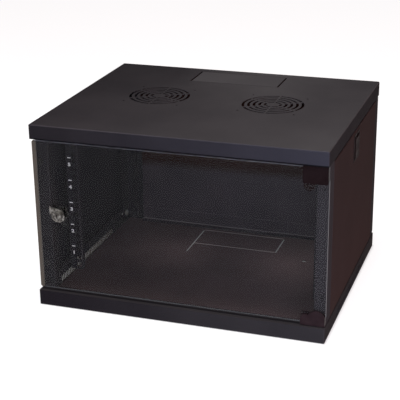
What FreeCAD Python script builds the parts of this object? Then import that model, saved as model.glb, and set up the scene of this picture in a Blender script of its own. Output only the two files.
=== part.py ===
import FreeCAD, Part
import math
import os
from FreeCAD import Vector

# Wall mount network cabinet, 6 rack units high, with a glass door. Millimetres.
# X runs to the right, Y to the wall, Z up. The origin is the middle of the underside.
# The front of the two sheet trays is at -Y, the face that lies on the wall at +Y.

# ---- driving dimensions of the cabinet ----
width = 540.0            # outside, across the lid
depth = 450.0            # outside, front lip to wall
height = 350.0           # outside, underside to top
lid_lip = 27.0           # height of the lid's skirt
base_lip = 29.0          # height of the base tray's skirt
sheet = 1.5              # cabinet sheet
rail_sheet = 2.0         # sheet of the 19 inch rails
panel_sheet = 1.2        # sheet of the removable side panels
bend = 2.5               # outside radius of the trays' folded edges
inside_bend = 1.0        # inside radius of the folds of posts and beams
rail_bend = 0.6          # inside radius of the rails' folds
front_return = 24.0      # lip folded inwards along the front of lid and base
side_return = 8.0        # lip folded inwards along the sides
fit = 0.3                # clearance between pieces that are put together
running = 0.05           # radial clearance of a turning or sliding pin

# ---- 19 inch mounting ----
rack_units = 6
unit = 44.45             # one rack unit
rack_opening = 450.0     # between the two rails
rack_hole_pitch = 465.1  # between the hole columns
rack_hole = 9.5          # square hole for a cage nut
hole_offsets = (6.35, 22.225, 38.1)   # holes within one unit
unit_rise = 6.4          # from the base's lip up to the first unit
rail_overrun = 2.4       # rail beyond the first unit and beyond the upper beam
front_rail_set = 100.0   # mounting face of the front rails, from the cabinet's front
rear_rail_set = 53.0     # mounting face of the rear rails, from the wall
rail_flange = 33.0       # depth of the flange that is bolted to the beams
rail_lip = 10.0          # stiffening lip on the open edge
rail_side = 20.0         # a rail's bolted flange, from the cabinet's side
rail_bolt_overrun = 1.0  # bolt beyond its nut

# ---- posts and beams ----
post_width = 25.0        # face of a front post
post_set = 20.5          # front face of the front posts, from the cabinet's front
post_side = 27.5         # depth of the front post's side
post_inner = 22.5        # depth of the front post's inner lip
post_gap = 0.2           # between the posts and the trays' skirts
rear_post_side = 27.0    # depth of the rear post's side
rear_post_width = 33.0   # width of the rear post's back flange
beam_height = 18.0       # side beams
beam_flange = 5.5        # width of a beam's flanges
beam_rise = 4.5          # from the base's lip up to the lower beams
beam_drop = 11.0         # from the lid's return down to the upper beams
beam_slot = 84.0         # length of an adjusting slot
slot_front_set = 85.0    # front end of the front adjusting slots, from the front
slot_rear_set = 39.0     # rear end of the rear adjusting slots, from the wall
rail_bolt = 6.0          # thread of the rail bolts
rail_bolt_head = 10.0    # across flats, also of the nut
rail_bolt_head_height = 4.0
rail_nut_height = 5.0
rail_bolt_back = 20.0    # bolt axis from a rail's mounting face

# ---- cut-outs ----
fan_offset = 111.0       # fan grille centres, left and right
fan_y = 12.0
fan_hub = 12.0           # inner radius of the first ring of slots
fan_rings = 5
fan_slot = 5.0           # width of a ring slot
fan_land = 5.2           # metal between two ring slots
fan_webs = 6
fan_web = 3.0            # width of a radial web
fan_web_angle = 30.0     # first web, degrees from +X
fan_hole_pitch = 105.0   # screw square of a 120 mm fan
fan_hole = 4.5           # fan screw hole
entry_width = 180.0      # cable entry knock-outs
entry_depth = 74.0
entry_rear_gap = 23.0    # sheet left behind a knock-out
entry_end_slot = 3.5     # wide slots at the ends
entry_seam = 1.0         # fine cuts along the sides
entry_bridge = 4.0       # metal that holds the knock-out
entry_long_end = 45.0    # extra length of the base's left end slot
vent_front_set = 95.0    # air slots in the base's skirts, from the front
vent_rear_set = 100.0    # and from the wall
vent_pitch = 7.0
vent_width = 3.6
vent_foot = 4.0
vent_height = 14.0
floor_hole = 9.0         # cable tie hole in the floor
floor_hole_x = 154.0
floor_hole_y = 104.5
wall_slot_side = 17.0    # wall screw slots through back panel and rear posts, from the side
wall_slot_low = 175.0
wall_slot_rise = 137.0
wall_slot = 9.0          # width of a slot
wall_slot_length = 16.0
back_turn = 12.0         # back panel's flanges on the floor and under the lid
earth_stud = 6.0         # welded on the floor behind the right post
earth_stud_length = 16.0
earth_nut_foot = 4.0     # its nut above the floor
earth_side = 32.0        # from the side
earth_set = 75.0         # from the front

# ---- glass door ----
glass = 5.0
glass_set = 7.5          # front face of the glass, from the cabinet's front
glass_gap = 4.5          # above the base's lip and below the lid's lip
glass_side_gap = 0.6
glass_corner = 4.0
glass_arris = 0.6        # ground off every edge
bumper = 10.0            # rubber door stops
bumper_chamfer = 1.0
bumper_plug = 6.0
bumper_collar = 0.8      # holds the plug behind the post's sheet
bumper_collar_length = 3.0
bumper_side = 11.0       # from the cabinet's side
bumper_rise = 49.0       # lower door stop above the base
bumper_drop = 47.0       # upper door stop below the lid

# ---- hinges, on the right hand side ----
axis_side = 7.5          # the pins, from the side; they stand in the middle of the glass
pin = 4.0
pin_reach = 5.0          # pin beyond the hinge body
pin_travel = 6.0         # the spring pin is pulled down to let the door out
pin_collar = 6.8
collar_height = 3.5
clamp_side = 45.0        # inner edge of both hinge bodies, from the side
clamp_edge = 1.6         # their outer edge, from the side
cheek = 2.5              # plates before and behind the glass
clamp_end = 2.5          # metal over the edge of the glass
pad = 0.5                # rubber liner on each side of the glass
pad_edge = 0.5           # hinge body beyond the liner
pad_end = 1.0            # and above and below it
notch_side = 16.0        # corner cut out of the glass for the pins, from the side
upper_clamp_height = 28.5             # on the glass
upper_notch_height = 21.5
clamp_corner = 3.0       # round lower corners of the upper hinge body
spring_floor = 2.0       # metal under the spring
pocket_roof = 5.0        # metal over the pin's collar
pocket_play = 0.2        # round the collar and over it
big_dome_side = 16.9     # the lower hinge's two domes, from the side
big_dome = 15.3
big_dome_rise = 29.5     # its top above the base
small_dome = 9.5
small_dome_rise = 22.0
lower_notch_drop = 10.0  # corner notch of the glass, below the big dome's top
lower_pin_drop = 5.0     # the fixed pin's head, below the notch's
tab_side = 46.0          # grip of the spring pin's release tab, from the side
tab_width = 20.0
tab_drop = 17.0          # below the upper hinge body
tab_sheet = 2.0
tab_overhang = 2.5       # arm beyond the pin's axis
peg_width = 3.6          # peg from the tab into the pin's collar
peg_start = 1.5          # its end, behind the pin's axis
peg_edge = 0.4           # collar above and below it
grub = 4.0               # clamping screws, from behind
grub_socket = 2.0        # across flats
grub_socket_depth = 1.5
grub_side = 21.0         # from the side
upper_grub_rises = (6.0, 15.0)        # above the upper hinge body's foot
lower_grub_pitch = 14.0
lower_grub_rise = 8.0    # above the glass's foot
spring_wire = 0.6
spring_turns = 5
spring_steps = 12        # straight steps in a turn
spring_play = 0.1        # above and below the spring
bush_wall = 1.0
bush_flange = 0.8
bush_flange_reach = 1.5  # flange beyond the sleeve
bush_overrun = 2.0       # sleeve beyond the sheet

# ---- lock ----
lock_side = 45.0         # from the left side
lock_z = 180.0
lock_face = 13.0         # radius of the finger pull's round end
lock_pull_reach = 16.0   # corner of the finger pull, to the left of the lock's axis
lock_pull_rise = 15.5    # and above it
lock_pull_side = 14.0    # length of its upright side
lock_flange = 2.5        # thickness of the finger pull
lock_barrel = 9.4        # radius of the threaded barrel
lock_bezel = 8.4         # radius of the raised ring
lock_plug = 6.0          # radius of the key plug
lock_nut = 27.0          # across flats
lock_nut_height = 5.0
washer_sheet = 1.0
cam_reach = 31.0
cam_width = 13.0
cam_sheet = 2.0
cam_gap = 7.0            # from the left post's face sheet back to the cam
strike_play = 3.0        # slot in the post, before and behind the cam
strike_rise = 4.0        # and above the turned cam
cam_corner = 3.0
cam_boss = 1.5           # boss round the square, beyond the blade
cam_drive = 6.0          # square end of the key plug
cam_clear = 1.0          # from the barrel's end to the cam
cam_screw_head = 5.5     # radius
cam_screw_height = 2.2
cam_screw_chamfer = 0.8
plug_set = 0.4           # key plug's face, from the cabinet's front
key_slot = 1.6
key_slot_height = 7.2
key_slot_depth = 9.0

# ---- side panels ----
panel_gap = 5.5          # between a side panel and the lid
panel_set = 1.0          # side panel's face, inside the cabinet's side
panel_rise = 0.6         # above the base
panel_return = 12.0      # lip folded inwards all round
panel_bend = 1.8         # outside radius of its folds
panel_tongue = 20.0      # tongues in the base's side lip
panel_tongue_drop = 6.0
panel_tongue_set = 2.4   # from the inner edge of the base's side lip
tongue_slot_edge = 1.0   # and from there to the tongue's slot
latch_y = 9.0            # middle of the latch
latch_width = 50.0
latch_drop = 63.0        # from the lid down to the latch's lower edge
latch_height = 52.0
latch_bezel = 0.8        # frame proud of the panel
latch_depth = 12.0       # housing behind the panel's face
latch_wall = 1.2
latch_rim = 2.3          # bezel beyond the housing
latch_recess = 12.0      # finger recess before the slide
latch_bolt = 3.0         # thickness of the bolt
latch_bolt_width = 16.0
latch_throw = 8.0
latch_bolt_gap = 0.8     # between the drawn-in bolt and the lid
latch_bolt_side = 0.2    # and beside the lid's side lip
latch_edge = 0.5         # rounding of the frame
button_set = 0.3         # button below the frame's face
groove_depth = 0.8
groove_width = 1.4
groove_rises = (12.0, 17.0, 22.0)     # grip grooves above the button's foot

# ---- worked out from the above ----
half_width = width / 2
half_depth = depth / 2
lid_foot = height - lid_lip
unit_foot = base_lip + unit_rise
beam_foot = base_lip + beam_rise
front_rail_y = -half_depth + front_rail_set
rear_rail_y = half_depth - rear_rail_set
post_face_y = -half_depth + post_set
glass_front = -half_depth + glass_set
vent_front_y = -half_depth + vent_front_set
vent_count = int((depth - vent_front_set - vent_rear_set) / vent_pitch) + 1
panel_front = post_face_y + post_side
panel_rear = half_depth - 2 * sheet - rear_post_side
rail_x = rack_opening / 2
rail_outer = half_width - rail_side
post_outer = half_width - sheet - post_gap
post_inner_x = half_width - post_width
rear_post_x = post_outer - rear_post_width
upper_beam_foot = lid_foot - beam_drop - beam_height
rail_foot = unit_foot - rail_overrun
rail_head = upper_beam_foot + beam_height + rail_overrun
glass_back = glass_front + glass
glass_foot = base_lip + glass_gap
glass_head = lid_foot - glass_gap
glass_edge = half_width - glass_side_gap
axis_x = half_width - axis_side
notch_left = half_width - notch_side
clamp_left = half_width - clamp_side
clamp_right = half_width - clamp_edge
axis_y = (glass_front + glass_back) / 2
clamp_front_y = glass_front - pad - cheek
clamp_back_y = glass_back + pad + cheek
upper_clamp_head = glass_head + clamp_end
upper_clamp_foot = glass_head - upper_clamp_height
upper_notch = glass_head - upper_notch_height
big_dome_x = half_width - big_dome_side
big_dome_top = base_lip + big_dome_rise
small_dome_top = base_lip + small_dome_rise
tab_left = half_width - tab_side
tab_foot = upper_clamp_foot - tab_drop
grub_x = half_width - grub_side
bumper_x = half_width - bumper_side
lower_clamp_foot = base_lip + bush_flange + fit
panel_face = half_width - panel_set
panel_foot = base_lip + panel_rise
panel_head = lid_foot - panel_gap
latch_foot = lid_foot - latch_drop
entry_y = half_depth - entry_rear_gap
lock_x = -half_width + lock_side
lock_y = glass_front
cam_y = post_face_y + sheet + cam_gap
lock_height = half_depth + lock_y
bolt_x = half_width - side_return - fit - latch_bolt_side - latch_bolt


def block(x0, x1, y0, y1, z0, z1):
    """A box between two opposite corners."""
    return Part.makeBox(x1 - x0, y1 - y0, z1 - z0, Vector(x0, y0, z0))


def rod(radius, start, direction, length):
    """A cylinder from a point along a direction."""
    return Part.makeCylinder(radius, length, Vector(*start), Vector(*direction))


def union(shapes):
    """Fuse a list of solids into one clean solid."""
    body = shapes[0]
    if len(shapes) > 1:
        body = body.multiFuse(shapes[1:])
    return body.removeSplitter()


def other_side(shape):
    """The same piece on the other side of the cabinet."""
    return shape.mirror(Vector(0, 0, 0), Vector(1, 0, 0))


def save(node, solids):
    """Write one node as parts/NODE.step; a list becomes a group of separate solids."""
    shape = solids[0] if len(solids) == 1 else Part.makeCompound(solids)
    shape.exportStep("parts/" + node + ".step")


def save_pair(node, solid):
    """Write a right hand piece and its mirror image on the left."""
    save(node + "_right", [solid])
    save(node + "_left", [other_side(solid)])


def folded(path, thickness, foot, head, fold=inside_bend):
    """A sheet bent along an open XY path and standing along Z; it thickens to the path's left."""
    steps = [(x1 - x0, y1 - y0) for (x0, y0), (x1, y1) in zip(path, path[1:])]
    sides = [(-dy / math.hypot(dx, dy), dx / math.hypot(dx, dy)) for dx, dy in steps]
    sides = [sides[0]] + sides + [sides[-1]]
    left = []
    inner = []
    outer = []
    for (x, y), (ax, ay), (bx, by) in zip(path, sides, sides[1:]):
        reach = thickness / (1 + ax * bx + ay * by)
        shifted = (x + reach * (ax + bx), y + reach * (ay + by))
        left.append(shifted)
        turn = ax * by - ay * bx
        if abs(turn) > 1e-6:
            inner.append(shifted if turn > 0 else (x, y))
            outer.append((x, y) if turn > 0 else shifted)
    points = [Vector(x, y, foot) for x, y in path + left[::-1]]
    body = Part.Face(Part.makePolygon(points + [points[0]])).extrude(Vector(0, 0, head - foot))
    for corners, radius in ((inner, fold), (outer, fold + thickness)):
        body = body.makeFillet(radius, [edge for edge in body.Edges if stands_on(edge, corners)])
    return body


def stands_on(edge, corners):
    """True for an upright edge over one of the given XY corners."""
    first = edge.Vertexes[0].Point
    last = edge.Vertexes[-1].Point
    if abs(first.x - last.x) > 1e-6 or abs(first.y - last.y) > 1e-6:
        return False
    return any(math.hypot(first.x - x, first.y - y) < 1e-4 for x, y in corners)


def rounded(body, radius, keep):
    """Fillet the straight edges for which keep(first, last) holds."""
    edges = []
    for edge in body.Edges:
        first = edge.Vertexes[0].Point
        last = edge.Vertexes[-1].Point
        if keep(first, last):
            edges.append(edge)
    return body.makeFillet(radius, edges)


# ---------------------------------------------------------------- sheet trays

def tray(lip):
    """A drawn sheet tray, open below, its rim at Z 0, with folded lips inside the rim."""
    outer = block(-half_width, half_width, -half_depth, half_depth, 0, lip)
    outer = rounded(outer, bend, lambda a, b: a.z > 1e-6 or b.z > 1e-6)
    inner = block(-half_width + sheet, half_width - sheet, -half_depth + sheet,
                  half_depth - sheet, -1, lip - sheet)
    inner = rounded(inner, bend - sheet, lambda a, b: a.z > -1 + 1e-6 or b.z > -1 + 1e-6)
    front_lip = block(-half_width, half_width, -half_depth, -half_depth + front_return, 0, sheet)
    side_lip = block(half_width - side_return, half_width, -half_depth + front_return,
                     panel_rear - fit, 0, sheet)
    lips = union([front_lip, side_lip, other_side(side_lip)]).common(outer)
    return union([outer.cut(inner), lips])


def fan_grille(x):
    """Cutters of one fan grille: rings of slots parted by radial webs, and the screw holes."""
    z = height - sheet - 1
    through = sheet + 2
    cutters = []
    for ring in range(fan_rings):
        small = fan_hub + ring * (fan_slot + fan_land)
        outer = rod(small + fan_slot, (x, fan_y, z), (0, 0, 1), through)
        cutters.append(outer.cut(rod(small, (x, fan_y, z), (0, 0, 1), through)))
    rings = Part.makeCompound(cutters)
    reach = fan_hub + fan_rings * (fan_slot + fan_land)
    webs = []
    for index in range(fan_webs // 2):
        bar = block(-reach, reach, -fan_web / 2, fan_web / 2, z - 1, z + through + 1)
        bar.rotate(Vector(0, 0, 0), Vector(0, 0, 1), fan_web_angle + index * 360.0 / fan_webs)
        bar.translate(Vector(x, fan_y, 0))
        webs.append(bar)
    slots = rings.cut(union(webs))
    half = fan_hole_pitch / 2
    holes = [rod(fan_hole / 2, (x + i * half, fan_y + j * half, z), (0, 0, 1), through)
             for i in (-1, 1) for j in (-1, 1)]
    return [slots] + holes


def entry_cuts(z0, z1, left_extra):
    """The cuts round a cable entry knock-out: wide end slots, fine seams and metal bridges."""
    x = entry_width / 2
    rear = entry_y
    front = rear - entry_depth
    cuts = [block(-x, -x + entry_end_slot, front - left_extra, rear, z0, z1),
            block(x - entry_end_slot, x, front, rear, z0, z1)]
    run = (entry_width - 2 * entry_end_slot - 2 * entry_bridge) / 2
    for y in (front, rear - entry_seam):
        for start in (-run - entry_bridge / 2, entry_bridge / 2):
            cuts.append(block(start, start + run, y, y + entry_seam, z0, z1))
    return cuts


def bush_hole(z):
    """The hole of a hinge bush in the front lip of lid or base."""
    return rod(pin / 2 + running + bush_wall, (axis_x, axis_y, z), (0, 0, 1), sheet + 2)


def make_top_cover():
    cover = tray(lid_lip)
    cover.translate(Vector(0, 0, lid_foot))
    cutters = fan_grille(-fan_offset) + fan_grille(fan_offset)
    cutters += entry_cuts(height - sheet - 1, height + 1, 0.0)
    cutters.append(bush_hole(lid_foot - 1))
    return cover.cut(cutters)


def make_base_tray():
    base = tray(base_lip).mirror(Vector(0, 0, 0), Vector(0, 0, 1))
    base.translate(Vector(0, 0, base_lip))
    cutters = entry_cuts(-1, sheet + 1, entry_long_end)
    cutters.append(rod(floor_hole / 2, (floor_hole_x, floor_hole_y, -1), (0, 0, 1), sheet + 2))
    cutters.append(bush_hole(base_lip - sheet - 1))
    for index in range(vent_count):
        y = vent_front_y + index * vent_pitch
        slot = block(half_width - sheet - 1, half_width + 1, y, y + vent_width,
                     vent_foot, vent_foot + vent_height)
        cutters += [slot, other_side(slot)]
    cutters += tongue_slots()
    cutters += [other_side(cut) for cut in tongue_slots()]
    return base.cut(cutters)


def tongue_slots():
    """Slots in the base's side lip that take the side panels' tongues."""
    return [block(half_width - side_return + tongue_slot_edge, half_width - bend,
                  y - panel_tongue / 2 - 1, y + panel_tongue / 2 + 1,
                  base_lip - sheet - 1, base_lip + 1) for y in tongue_places()]


def tongue_places():
    """Y of the two tongues of a side panel."""
    span = panel_rear - panel_front
    return (panel_front + span / 5, panel_rear - span / 5)


# ---------------------------------------------------------------- frame

def make_front_post():
    """Right front post: a C section with its face to the front."""
    y = post_face_y
    path = [(post_inner_x, y + post_inner), (post_inner_x, y), (post_outer, y),
            (post_outer, y + post_side)]
    post = folded(path, sheet, base_lip, lid_foot)
    holes = [rod(bumper_plug / 2 + running, (bumper_x, y - 1, z), (0, 1, 0), sheet + 2)
             for z in bumper_heights()]
    return post.cut(holes)


def bumper_heights():
    """Z of the two door stops of a post."""
    return (base_lip + bumper_rise, lid_foot - bumper_drop)


def strike_slot():
    """Opening in the left post's inner lip that the lock's cam turns into."""
    return block(-post_inner_x - sheet - 1, -post_inner_x + 1, cam_y - strike_play,
                 cam_y + cam_sheet + strike_play, lock_z - cam_reach,
                 lock_z + cam_width / 2 + strike_rise)


def make_rear_post():
    """Right rear post: an angle against the rear skirts and the back panel."""
    y = half_depth - sheet
    path = [(post_outer, y - rear_post_side), (post_outer, y), (rear_post_x, y)]
    return folded(path, sheet, bend, height - bend).cut(wall_screw_slots())


def make_side_beam(foot):
    """Right side beam: a channel open to the outside, with end plates and adjusting slots."""
    web = rail_outer
    edge = web + beam_flange
    head = foot + beam_height
    front = post_face_y + sheet
    rear = half_depth - 2 * sheet
    beam = folded([(edge, head), (web, head), (web, foot), (edge, foot)], sheet, -rear, -front)
    beam.rotate(Vector(0, 0, 0), Vector(1, 0, 0), 90)
    plate = post_outer - sheet - inside_bend
    ends = [block(web, plate, front, front + sheet, foot, head),
            block(web, plate, rear - sheet, rear, foot, head)]
    middle = foot + beam_height / 2
    slots = [long_slot(web - 1, start, middle)
             for start in (slot_front_set - half_depth, half_depth - slot_rear_set - beam_slot)]
    return union([beam] + ends).cut(slots)


def long_slot(x, y, z):
    """A cutter for an adjusting slot with round ends; y is its front end."""
    radius = rail_bolt / 2 + fit
    through = sheet + 2
    end = y + beam_slot
    return union([block(x, x + through, y + radius, end - radius, z - radius, z + radius),
                  rod(radius, (x, y + radius, z), (1, 0, 0), through),
                  rod(radius, (x, end - radius, z), (1, 0, 0), through)])


def rail_bolt_places(face_y, way):
    """Y and Z of the two bolts that hold a rail on its beams."""
    return [(face_y + way * rail_bolt_back, foot + beam_height / 2)
            for foot in (beam_foot, upper_beam_foot)]


def make_rail(face_y, way):
    """Right 19 inch rail; its flange runs back from the mounting face for way 1."""
    path = [(rail_x, rail_lip), (rail_x, 0), (rail_outer, 0), (rail_outer, rail_flange)]
    rail = folded(path, rail_sheet, rail_foot, rail_head, rail_bend)
    x = rack_hole_pitch / 2
    half = rack_hole / 2
    cutters = []
    for index in range(rack_units):
        for offset in hole_offsets:
            z = unit_foot + index * unit + offset
            cutters.append(block(x - half, x + half, -1, rail_sheet + 1, z - half, z + half))
    rail = rail.cut(cutters)
    if way < 0:
        rail = rail.mirror(Vector(0, 0, 0), Vector(0, 1, 0))
    rail.translate(Vector(0, face_y, 0))
    return rail.cut([rod(rail_bolt / 2 + fit, (rail_outer - rail_sheet - 1, y, z), (1, 0, 0),
                         rail_sheet + 2) for y, z in rail_bolt_places(face_y, way)])


def make_back_panel():
    """Back sheet, flush with the skirts; its joggled edges turn in over floor and under lid."""
    inner = half_depth - sheet
    low = base_lip + inside_bend
    high = lid_foot - inside_bend
    path = [(inner - back_turn, sheet), (inner, sheet), (inner, low), (half_depth, low + sheet),
            (half_depth, high - sheet), (inner, high), (inner, height - sheet),
            (inner - back_turn, height - sheet)]
    edge = rear_post_x - fit
    middle = folded(path, sheet, -edge, edge)
    middle.rotate(Vector(0, 0, 0), Vector(1, 1, 1), 120)
    wings = [block(x, x + post_outer - edge + 1, inner, half_depth, low + 2 * sheet,
                   high - 2 * sheet) for x in (-post_outer, edge - 1)]
    return union([middle] + wings).cut(wall_screw_slots())


def wall_screw_slots():
    """Cutters of the four wall screw slots."""
    side = half_width - wall_slot_side
    return [wall_screw_slot(x, z) for x in (-side, side)
            for z in (wall_slot_low, wall_slot_low + wall_slot_rise)]


def wall_screw_slot(x, z):
    """A cutter for a level slot with round ends, which forgives a badly drilled wall."""
    y = half_depth - 2 * sheet - 1
    through = 2 * sheet + 2
    radius = wall_slot / 2
    run = wall_slot_length / 2 - radius
    return union([block(x - run, x + run, y, y + through, z - radius, z + radius),
                  rod(radius, (x - run, y, z), (0, 1, 0), through),
                  rod(radius, (x + run, y, z), (0, 1, 0), through)])


# ---------------------------------------------------------------- fasteners

def hexagon(across, x, y, z, thickness):
    """A hexagonal prism along +X from x."""
    radius = across / math.sqrt(3)
    points = []
    for index in range(6):
        angle = math.radians(60 * index)
        points.append(Vector(x, y + radius * math.cos(angle), z + radius * math.sin(angle)))
    return Part.Face(Part.makePolygon(points + [points[0]])).extrude(Vector(thickness, 0, 0))


def make_rail_bolt(y, z):
    """Hexagon bolt through rail and beam, its head on the inside."""
    seat = rail_outer - rail_sheet
    head = hexagon(rail_bolt_head, seat - rail_bolt_head_height, y, z, rail_bolt_head_height)
    shank = rod(rail_bolt / 2, (seat, y, z), (1, 0, 0),
                rail_sheet + sheet + rail_nut_height + rail_bolt_overrun)
    return union([head, shank])


def make_rail_nut(y, z):
    """Nut behind the beam's web."""
    x = rail_outer + sheet
    nut = hexagon(rail_bolt_head, x, y, z, rail_nut_height)
    return nut.cut(rod(rail_bolt / 2 + running, (x - 1, y, z), (1, 0, 0), rail_nut_height + 2))


def make_earth_stud():
    """Threaded earthing stud, welded on the floor, with its nut."""
    x = half_width - earth_side
    y = -half_depth + earth_set
    stud = rod(earth_stud / 2, (x, y, sheet), (0, 0, 1), earth_stud_length)
    nut = hexagon(rail_bolt_head, 0, 0, 0, rail_nut_height)
    nut.rotate(Vector(0, 0, 0), Vector(0, 1, 0), -90)
    nut.translate(Vector(x, y, sheet + earth_nut_foot))
    return union([stud, nut])


def make_bumper(z):
    """Rubber door stop on the left post: a button before it, plugged into its hole."""
    reach = post_face_y - glass_back - fit
    front = post_face_y - reach
    button = rod(bumper / 2, (-bumper_x, post_face_y, z), (0, -1, 0), reach)
    button = button.makeChamfer(bumper_chamfer, [edge for edge in button.Edges
                                      if abs(edge.CenterOfMass.y - front) < 1e-3])
    plug = rod(bumper_plug / 2, (-bumper_x, post_face_y, z), (0, 1, 0), sheet)
    collar = rod(bumper_plug / 2 + bumper_collar, (-bumper_x, post_face_y + sheet, z),
                 (0, 1, 0), bumper_collar_length)
    return union([button, plug, collar])


def make_hinge_bush(face_z, way):
    """Flanged nylon bush in a lip; way 1 reaches up from the lid's lower face."""
    start = (axis_x, axis_y, face_z)
    radius = pin / 2 + running + bush_wall
    reach = sheet + bush_overrun
    flange = rod(radius + bush_flange_reach, start, (0, 0, -way), bush_flange)
    sleeve = rod(radius, start, (0, 0, way), reach)
    bore = rod(pin / 2 + running, (axis_x, axis_y, face_z - reach - 1), (0, 0, 1),
               2 * reach + 2)
    return union([flange, sleeve]).cut(bore)


# ---------------------------------------------------------------- door

def make_door_glass():
    """Toughened pane with round corners, notches for the hinge pins and the lock's hole."""
    pane = block(-glass_edge, glass_edge, glass_front, glass_back, glass_foot, glass_head)
    pane = rounded(pane, glass_corner, lambda a, b: abs(a.y - b.y) > 1 and a.x < 0)
    notches = [block(notch_left, glass_edge + 1, glass_front - 1, glass_back + 1, z0, z1)
               for z0, z1 in ((glass_foot - 1, lower_notch()), (upper_notch, glass_head + 1))]
    hole = rod(lock_barrel + fit, (lock_x, glass_front - 1, lock_z), (0, 1, 0), glass + 2)
    pane = pane.cut(notches)
    faces = (glass_front, glass_back)
    pane = pane.makeChamfer(glass_arris, [
        edge for edge in pane.Edges
        if any(all(abs(corner.Y - y) < 1e-6 for corner in edge.Vertexes) for y in faces)])
    return pane.cut(hole)


def lower_notch():
    """Height of the lower corner notch, hidden by the big dome."""
    return big_dome_top - lower_notch_drop


def clamp_body(foot, head, core_foot, core_head, end_foot):
    """Cheeks behind the glass, the core in the glass's notch and the end over its edge."""
    right = clamp_right
    return [block(clamp_left, right, glass_back + pad, clamp_back_y, foot, head),
            block(notch_left + fit, right, clamp_front_y, clamp_back_y, core_foot, core_head),
            block(clamp_left, right, clamp_front_y, clamp_back_y, end_foot,
                  end_foot + clamp_end - fit)]


def make_upper_clamp():
    """Upper hinge body: two cheeks, the end over the glass and the spring pin's bore."""
    front = block(clamp_left, clamp_right, clamp_front_y, glass_front - pad,
                  upper_clamp_foot, upper_clamp_head)
    front = rounded(front, clamp_corner, lambda a, b: abs(a.y - b.y) > 1
                    and a.z < upper_clamp_foot + 1)
    body = union([front] + clamp_body(upper_clamp_foot, upper_clamp_head, upper_notch + fit,
                                      upper_clamp_head, glass_head + fit))
    pocket = rod(pin_collar / 2 + pocket_play, (axis_x, axis_y, spring_foot()), (0, 0, 1),
                 collar_head() + pocket_play - spring_foot())
    bore = rod(pin / 2 + running, (axis_x, axis_y, spring_foot()), (0, 0, 1),
               upper_clamp_head + 1 - spring_foot())
    half = peg_width / 2 + fit
    peg = block(axis_x - half, axis_x + half, axis_y, clamp_back_y + 1,
                collar_head() - collar_height - pin_travel - fit, collar_head() + pocket_play)
    return body.cut([pocket, bore, peg] + grub_holes(upper_grubs()))


def spring_foot():
    """Floor of the spring's pocket."""
    return upper_notch + spring_floor


def collar_head():
    """Top of the pin's collar, against the pocket's roof."""
    return upper_clamp_head - pocket_roof


def upper_grubs():
    """X and Z of the upper hinge's clamping screws."""
    return [(grub_x, upper_clamp_foot + rise) for rise in upper_grub_rises]


def lower_grubs():
    """X and Z of the lower hinge's clamping screws."""
    z = glass_foot + lower_grub_rise
    return [(grub_x - lower_grub_pitch, z), (grub_x, z)]


def grub_holes(places):
    """Threaded holes of the clamping screws through the rear cheek."""
    return [rod(grub / 2, (x, glass_back + pad - 0.1, z), (0, 1, 0), cheek + 1)
            for x, z in places]


def make_grub_screws():
    """Clamping screws of both hinges, flush with the rear cheeks, with hexagon sockets."""
    screws = []
    for x, z in upper_grubs() + lower_grubs():
        socket = hexagon(grub_socket, 0, 0, 0, cheek)
        socket.rotate(Vector(0, 0, 0), Vector(0, 0, 1), 90)
        socket.translate(Vector(x, clamp_back_y - grub_socket_depth, z))
        screws.append(rod(grub / 2, (x, glass_back + pad, z), (0, 1, 0), cheek).cut(socket))
    return screws


def make_lower_clamp():
    """Lower hinge body: two domes before the glass, and a core with the fixed pin."""
    y0 = clamp_front_y
    y1 = glass_front - pad
    foot = lower_clamp_foot
    big_z = big_dome_top - big_dome
    small_z = small_dome_top - small_dome
    domes = union([block(clamp_left, big_dome_x, y0, y1, foot, small_z),
                   block(big_dome_x - big_dome, clamp_right, y0, y1, foot, big_z),
                   rod(small_dome, (clamp_left + small_dome, y0, small_z), (0, 1, 0), cheek),
                   rod(big_dome, (big_dome_x, y0, big_z), (0, 1, 0), cheek)])
    domes = domes.common(block(clamp_left, clamp_right, y0, y1, foot, big_dome_top))
    body = union([domes] + clamp_body(foot, small_dome_top, foot, lower_notch() - fit,
                                    glass_foot - clamp_end))
    bore = rod(pin / 2, (axis_x, axis_y, foot - 1), (0, 0, 1), lower_pin_head() - foot + 1)
    return body.cut([bore] + grub_holes(lower_grubs()))


def lower_pin_head():
    """Top of the fixed pin in the lower hinge body."""
    return lower_notch() - lower_pin_drop


def make_lower_pin():
    """Fixed lower hinge pin; the door stands on it."""
    foot = lower_clamp_foot - pin_reach
    return rod(pin / 2, (axis_x, axis_y, foot), (0, 0, 1), lower_pin_head() - foot)


def make_pads(foot, head):
    """Rubber liners between a hinge body's cheeks and the glass."""
    left = clamp_left + pad_edge
    right = notch_left - pad_edge
    return [block(left, right, glass_front - pad, glass_front, foot, head),
            block(left, right, glass_back, glass_back + pad, foot, head)]


def make_spring_pin():
    """Upper hinge pin with its collar, pushed up into the lid by the spring."""
    foot = collar_head() - collar_height
    stem = rod(pin / 2, (axis_x, axis_y, foot), (0, 0, 1),
               upper_clamp_head + pin_reach - foot)
    collar = rod(pin_collar / 2, (axis_x, axis_y, foot), (0, 0, 1), collar_height)
    return union([stem, collar]).cut(tab_peg())


def tab_peg():
    """Peg of the release tab, from the arm into the pin's collar."""
    half = peg_width / 2
    return block(axis_x - half, axis_x + half, axis_y + peg_start, clamp_back_y + fit,
                 collar_head() - collar_height + peg_edge, collar_head() - peg_edge)


def make_release_tab():
    """Finger tab that pulls the spring pin down: peg, arm and rounded grip."""
    y0 = clamp_back_y + fit
    y1 = y0 + tab_sheet
    foot = collar_head() - collar_height
    arm = block(tab_left, axis_x + tab_overhang, y0, y1, foot, collar_head())
    grip = block(tab_left, tab_left + tab_width, y0, y1, tab_foot, collar_head())
    grip = rounded(grip, tab_width / 2 - 0.5,
                   lambda a, b: abs(a.y - b.y) > 1 and max(a.z, b.z) < tab_foot + 1)
    return union([arm, grip, tab_peg()])


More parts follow.
